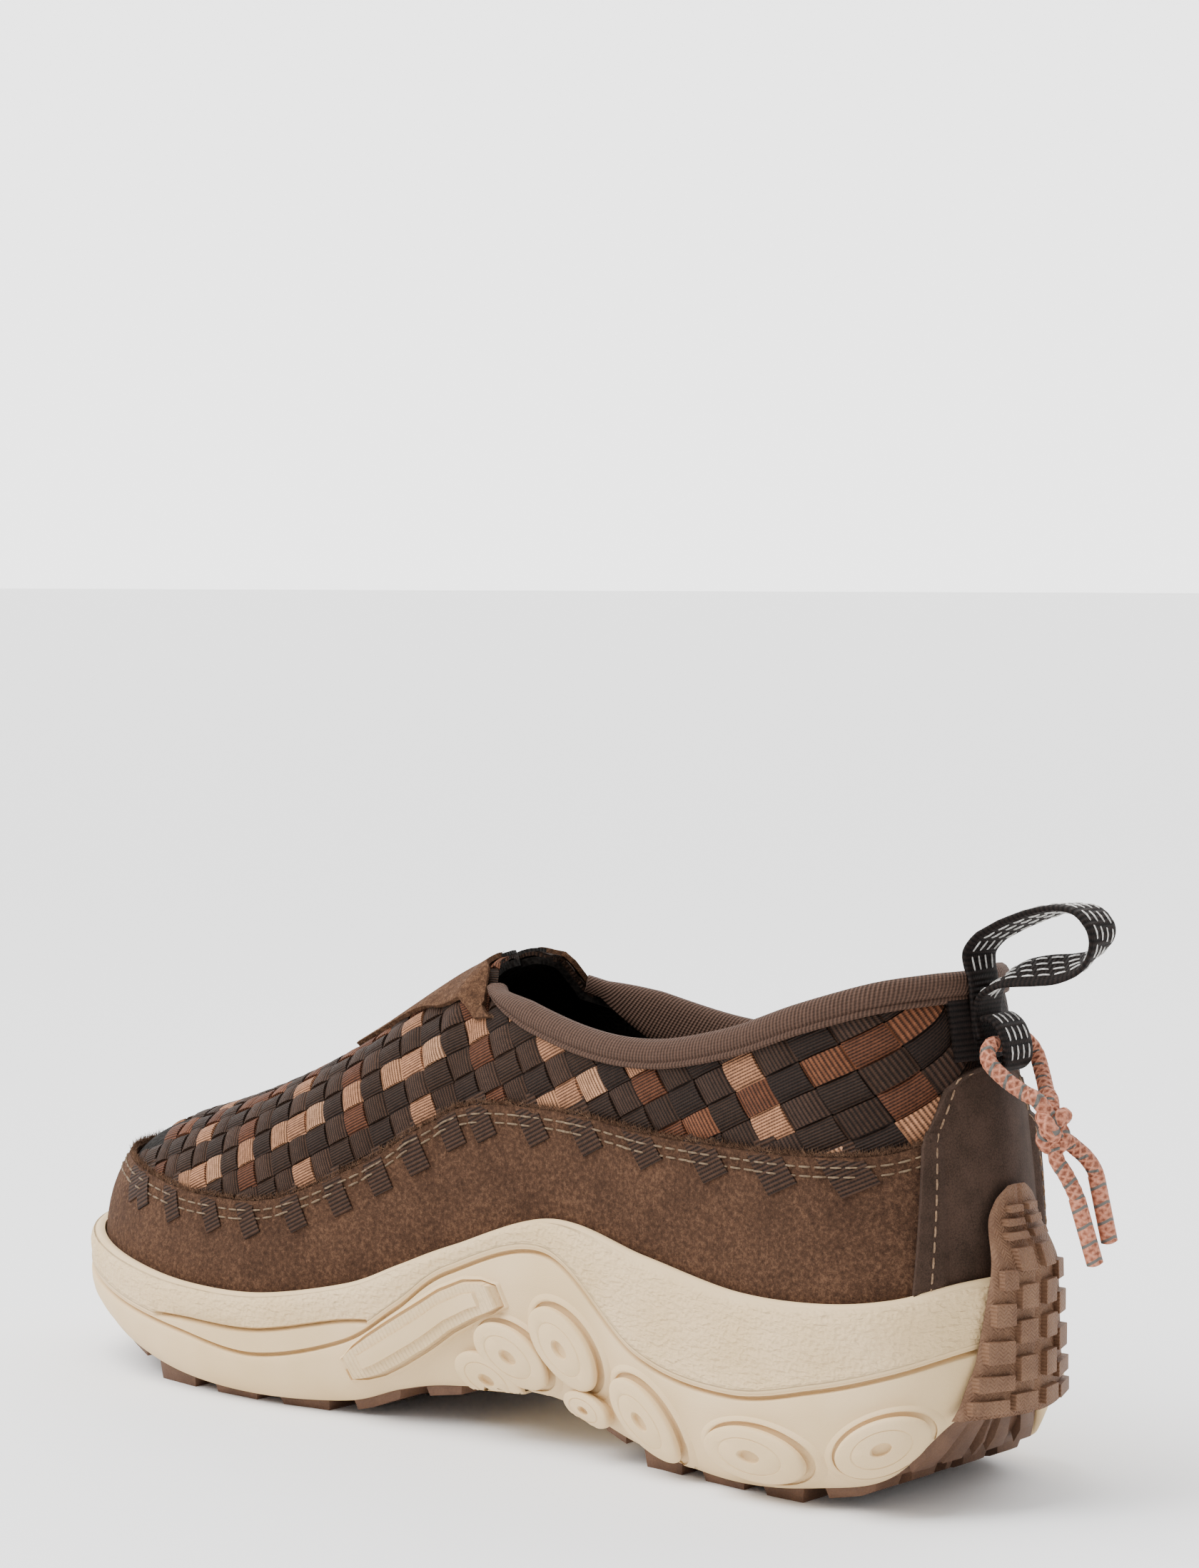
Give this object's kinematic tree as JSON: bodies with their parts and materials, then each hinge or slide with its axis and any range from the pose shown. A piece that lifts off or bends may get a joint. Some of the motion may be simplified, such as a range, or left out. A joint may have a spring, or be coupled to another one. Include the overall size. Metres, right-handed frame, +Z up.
{
  "type": "slip-on walking shoe",
  "caption": "Right-foot slip-on walking shoe with a woven webbing upper, suede overlays, foam midsole with side pods, lugged rubber soles and a heel pull loop.",
  "frame": {"origin": "on the floor under the middle of the shoe's bounding box, without the free cord", "axes": "+Z up from the floor, the toe towards -X, the inner (medial) side towards -Y"},
  "size_m": [0.3184, 0.1024, 0.1418],
  "materials": {
    "woven_webbing": "matte",
    "brown_suede": "matte",
    "black_elastic": "matte",
    "brown_binding": "matte",
    "dark_nubuck": "matte",
    "black_insole": "matte",
    "cream_foam": "matte",
    "brown_rubber": "matte",
    "black_webbing": "matte",
    "braided_cord": "matte"
  },
  "bodies": {
    "root": {"collar_binding": "brown_binding", "cord_knot": "braided_cord", "cord_lateral": "braided_cord", "cord_loop": "black_webbing", "cord_medial": "braided_cord", "gore": "black_elastic", "heel_counter": "dark_nubuck", "heel_wrap": "brown_rubber", "insole": "black_insole", "midsole": "cream_foam", "pod_lateral_b": "cream_foam", "pod_lateral_c": "cream_foam", "pod_lateral_d": "cream_foam", "pod_lateral_e": "cream_foam", "pod_lateral_f": "cream_foam", "pod_medial_b": "cream_foam", "pod_medial_c": "cream_foam", "pod_medial_d": "cream_foam", "pod_medial_e": "cream_foam", "pod_medial_f": "cream_foam", "pull_loop": "black_webbing", "rand": "brown_suede", "side_plate": "cream_foam", "strip_lateral": "brown_suede", "strip_medial": "brown_suede", "tail_lateral": "braided_cord", "tail_medial": "braided_cord", "tip_lateral": "braided_cord", "tip_medial": "braided_cord", "tread_forefoot": "brown_rubber", "tread_heel": "brown_rubber", "upper": "woven_webbing"}
  },
  "joints": []
}
